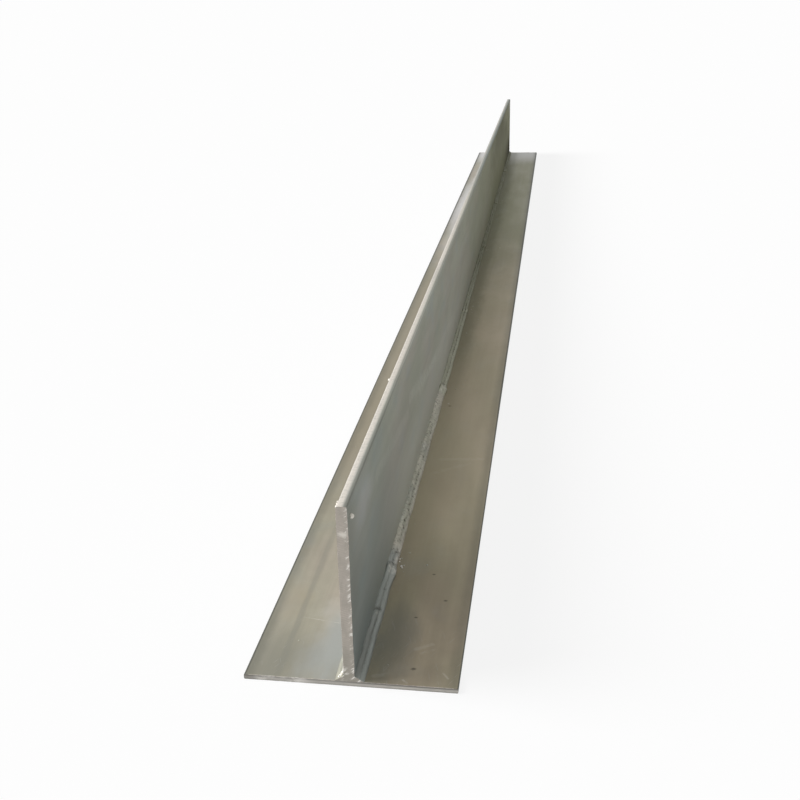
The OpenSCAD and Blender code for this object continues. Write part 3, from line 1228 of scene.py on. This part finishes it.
def weld_finish(finish):
    """Zinc over the weld, with painted highlights on the crowns and painted shade in the groove, the pits
    and between the ripples.
    """
    skin = Skin(finish, "weld_skin", metallic=0.4, glancing=0.25, gloss=0.03)
    height = skin.coat(finish.weld_bright, finish.weld_dull, cloud_size=0.014, streaks=0.2)
    x, y, z = axes(skin.place)
    right_side = x > 0.0
    skin.lay("weld_cool_and_reflection", 0.8, y.ramp(-1.255, -1.285) * right_side)

    # The upper bead is dimmer at the near end, and the lower one is brighter after the first restart
    skin.lay("soot_and_shade", 0.35, y.ramp(-1.34, -1.46) * z.ramp(8 * MM, 10.5 * MM) * right_side)
    lit = y.ramp(-1.31, -1.28) * y.ramp(-0.8, -0.95)
    skin.lay("fresh_zinc_and_highlight", 0.36, lit * z.ramp(9.5 * MM, 7 * MM))

    # The runs after the second restart are greener, and more so far off
    skin.lay("weld_late", 0.75, y.ramp(-0.805, -0.785))
    skin.lay("moss_and_shade", 0.22, y.ramp(-0.765, -0.74) * z.ramp(8.5 * MM, 10.5 * MM) * right_side)
    skin.lay("moss_and_shade", 0.72, y.ramp(-0.7, 0.1))
    # Painted highlights and shadow at the restarts
    skin.lay_blots(RESTART_HIGHLIGHTS_AND_SHADOW)
    # Painted highlights where the relief rises and painted shade where it sinks
    relief = node_value(skin.tree, "ShaderNodeAttribute", "Fac", {}, attribute_name="relief")
    skin.lay("fresh_zinc_and_highlight", 0.55, relief.ramp(0.1, 0.9) * x.ramp(-1 * MM, 1 * MM, 0.3, 1.0))
    skin.lay("soot_and_shade", 0.65, relief.ramp(-0.15, -0.9))
    skin.close(height, distance=0.4, strength=0.5)


def sawn_finish(finish, pitch):
    """The sawn ends of the plates."""
    skin = Skin(finish, "sawn_skin", metallic=0.4)
    place = skin.place
    colours = {"Bright": shown(finish.cut_bright), "Dull": shown(finish.cut_dull)}
    marks = use_group(skin.tree, "saw_marks", {"Place": place, "Pitch": pitch, **colours})
    skin.colour = marks["Color"]
    x, _, z = axes(place)
    on_web = z > FLANGE_TOP
    on_flange = 1.0 - on_web

    # The foot of the web is duller, and the flange's end is dark along its top, its foot and its left corner
    skin.lay("flange_damp", 0.45, z.ramp(0.065, 0.008) * on_web)
    skin.lay("cool_zinc_and_reflection", 0.45, on_flange)
    upper = z.ramp(FLANGE_TOP - 2.2 * MM, FLANGE_TOP - 1.2 * MM) * on_flange
    skin.lay("soot_and_shade", 0.55, upper * x.ramp(-0.02, 0.02, 0.62, 1.0))
    skin.lay("soot_and_shade", 0.3, z.ramp(1.7 * MM, 0.3 * MM) * on_flange)
    streaky = noise(remap(place, scale=(0.25, 1.0, 1.0)), 260.0).ramp(0.35, 0.6)
    bright = skin.band(z - 2.2 * MM, 1.5, 0.4) * streaky
    skin.lay("fresh_zinc_and_highlight", 0.3, bright * x.ramp(-0.01, 0.02, 0.3, 1.0))
    skin.lay("soot_and_shade", 0.4, x.ramp(-0.078, -0.1))
    flecks = noise(remap(place, scale=(0.35, 1.0, 1.0)), 230.0).ramp(0.43, 0.58)
    left_half = x.ramp(-0.03, -0.055) * x.ramp(-0.092, -0.08)
    skin.lay("splash_zinc", 0.65, flecks * left_half * on_flange)
    mottle = noise(remap(place, scale=(1.0, 1.0, 0.5)), 150.0).ramp(0.42, 0.62)
    skin.lay("flange_damp", 0.18, mottle * on_web)

    # Short bright strokes along the web's right edge, a fleck near its top and a crust at its left foot
    slanted = remap(place, rotation=(0, math.radians(40), 0))
    strokes = noise(remap(slanted, scale=(0.3, 1.0, 1.0)), 330.0, 3.0, 0.6)
    edge = x.ramp(0.5 * MM, 4 * MM) * on_web * noise(place, 22.0, 1.0).ramp(0.34, 0.5, 0.25, 1.0)
    skin.lay("splash_zinc", 0.85, edge * strokes.ramp(0.49, 0.61))
    skin.lay("fresh_zinc_and_highlight", 0.9, skin.blot((0.2, -1500, 157.7), (6.3, 10, 4.2)))
    crust = skin.blot((-6, -1500, 13), (9, 12, 12)) * on_web
    skin.lay("splash_zinc", 0.8, crust * strokes.ramp(0.45, 0.58))
    skin.inputs["Roughness"].default_value = 0.5
    skin.close(marks["Height"], distance=0.3, strength=0.5)


def plain_zinc_finish(finish, name, bright, dull, cloud_size):
    """Zinc with nothing on it, for small pieces."""
    skin = Skin(finish, name, metallic=0.4)
    height = skin.coat(bright, dull, cloud_size, streaks=0.0)
    skin.close(height, distance=0.3, strength=0.4)


class TBAR_OT_finishes(Operator):
    """Makes the node groups and materials of the zinc, the welds and the sawn ends"""

    bl_idname = "tbar.finishes"
    bl_label = "Finishes"

    def execute(self, context):
        settings = context.scene.tbar
        finish = settings.finish
        build_zinc_coat()
        build_scratch()
        build_blot()
        build_saw_marks()
        build_band()
        build_hairs()
        flange_finish(finish)
        web_finish(finish)
        weld_finish(finish)
        sawn_finish(finish, settings.plates.saw_pitch)
        plain_zinc_finish(finish, "splash_skin", finish.splash_zinc, finish.fresh_zinc_and_highlight, 0.004)
        plain_zinc_finish(finish, "spatter_skin", finish.weld_bright, finish.weld_dull, 0.004)
        plain_zinc_finish(finish, "burr_skin", finish.cut_bright, finish.cut_dull, 0.003)
        return {"FINISHED"}


# Stage

FLOOR_SIZE = 60.0
FLOOR_GAP = 0.4 * MM
# How much of the floor's look is plain white where it is seen as background
FLOOR_GLOW = 0.86


def see_background(tree):
    """One for a ray that shows the background: from the camera, or off metal or through glass."""
    path = tree.nodes.new("ShaderNodeLightPath").outputs
    ways = ("Camera", "Glossy", "Transmission")
    camera, glossy, through = [Value(tree, path[f"Is {way} Ray"]) for way in ways]
    return number_sum("MAXIMUM", number_sum("MAXIMUM", camera, glossy), through)


class TBAR_OT_stage(Operator):
    """Sets up the floor, the lamps, the sky and the camera"""

    bl_idname = "tbar.stage"
    bl_label = "Studio"

    def execute(self, context):
        stage = context.scene.tbar.stage
        self.lay_floor(stage)
        self.light_sky(context.scene, stage)
        self.hang_lamp(context.scene, stage)
        self.set_camera(context.scene, stage)
        context.scene.view_settings.view_transform = "Standard"
        return {"FINISHED"}

    def lay_floor(self, stage):
        deselect_objects()
        bpy.ops.mesh.primitive_plane_add(size=FLOOR_SIZE, location=(0, 0, FLANGE_LOW.z - FLOOR_GAP))
        floor = start_piece("floor")
        material = bpy.data.materials.new("floor")
        material.use_nodes = True
        tree = material.node_tree
        tree.nodes.clear()
        matt = node_value(tree, "ShaderNodeBsdfDiffuse", 0, {"Color": shown(stage.floor_colour)})
        glow = node_value(tree, "ShaderNodeEmission", 0, {"Strength": 1.0})
        shares = {0: see_background(tree) * FLOOR_GLOW, 1: matt, 2: glow}
        mixed = node_value(tree, "ShaderNodeMixShader", 0, shares)
        place_node(tree, "ShaderNodeOutputMaterial", {"Surface": mixed})
        floor.data.materials.append(material)

    def light_sky(self, scene, stage):
        world = bpy.data.worlds.new("studio_sky")
        scene.world = world
        world.use_nodes = True
        sky = world.node_tree.nodes["Background"].inputs
        sky["Color"].default_value = (1, 1, 1, 1)
        lift = see_background(world.node_tree) * (1.0 - stage.sky_level) + stage.sky_level
        lift.feed(sky["Strength"])

    def hang_lamp(self, scene, stage):
        lamp = bpy.data.lights.new("key_lamp", "SUN")
        lamp.energy = stage.key_strength
        lamp.angle = stage.key_spread
        holder = bpy.data.objects.new("key_lamp", lamp)
        way = Vector(stage.key_way)
        holder.location = 3.0 * way
        holder.rotation_mode = "QUATERNION"
        holder.rotation_quaternion = way.to_track_quat("Z", "Y")
        scene.collection.objects.link(holder)

    def set_camera(self, scene, stage):
        lens = bpy.data.cameras.new("camera")
        lens.sensor_width = 36.0
        lens.lens = stage.lens
        lens.clip_start = 0.01
        lens.clip_end = 200.0
        camera = bpy.data.objects.new("camera", lens)
        camera.location = Vector((0, NEAR_END, 0)) + Vector(stage.camera_offset)
        camera.rotation_euler = stage.camera_turn
        scene.collection.objects.link(camera)
        scene.camera = camera


class TBAR_PT_panel(Panel):
    """Lists the steps that make the T-bar"""

    bl_idname = "TBAR_PT_panel"
    bl_label = "Galvanised T-bar"
    bl_space_type = "VIEW_3D"
    bl_region_type = "UI"
    bl_category = "T-bar"

    def draw(self, context):
        for step in STEPS:
            self.layout.operator(step.bl_idname)
        for group in ("plates", "welds", "finish", "stage"):
            box = self.layout.box()
            settings = getattr(context.scene.tbar, group)
            for name in settings.__annotations__:
                box.prop(settings, name)


STEPS = (
    TBAR_OT_finishes,
    TBAR_OT_flange,
    TBAR_OT_web,
    TBAR_OT_welds,
    TBAR_OT_spatter,
    TBAR_OT_zinc_lumps,
    TBAR_OT_burrs,
    TBAR_OT_stage,
)
CLASSES = (PlateSettings, WeldSettings, FinishSettings, StageSettings, TBarSettings, *STEPS, TBAR_PT_panel)


def register():
    for item in CLASSES:
        bpy.utils.register_class(item)
    bpy.types.Scene.tbar = PointerProperty(type=TBarSettings)


def unregister():
    del bpy.types.Scene.tbar
    for item in reversed(CLASSES):
        bpy.utils.unregister_class(item)


def main():
    register()
    bpy.ops.tbar.finishes()
    bpy.ops.tbar.flange()
    bpy.ops.tbar.web()
    bpy.ops.tbar.welds()
    bpy.ops.tbar.spatter()
    bpy.ops.tbar.zinc_lumps()
    bpy.ops.tbar.burrs()
    bpy.ops.tbar.stage()


if __name__ == "__main__":
    main()
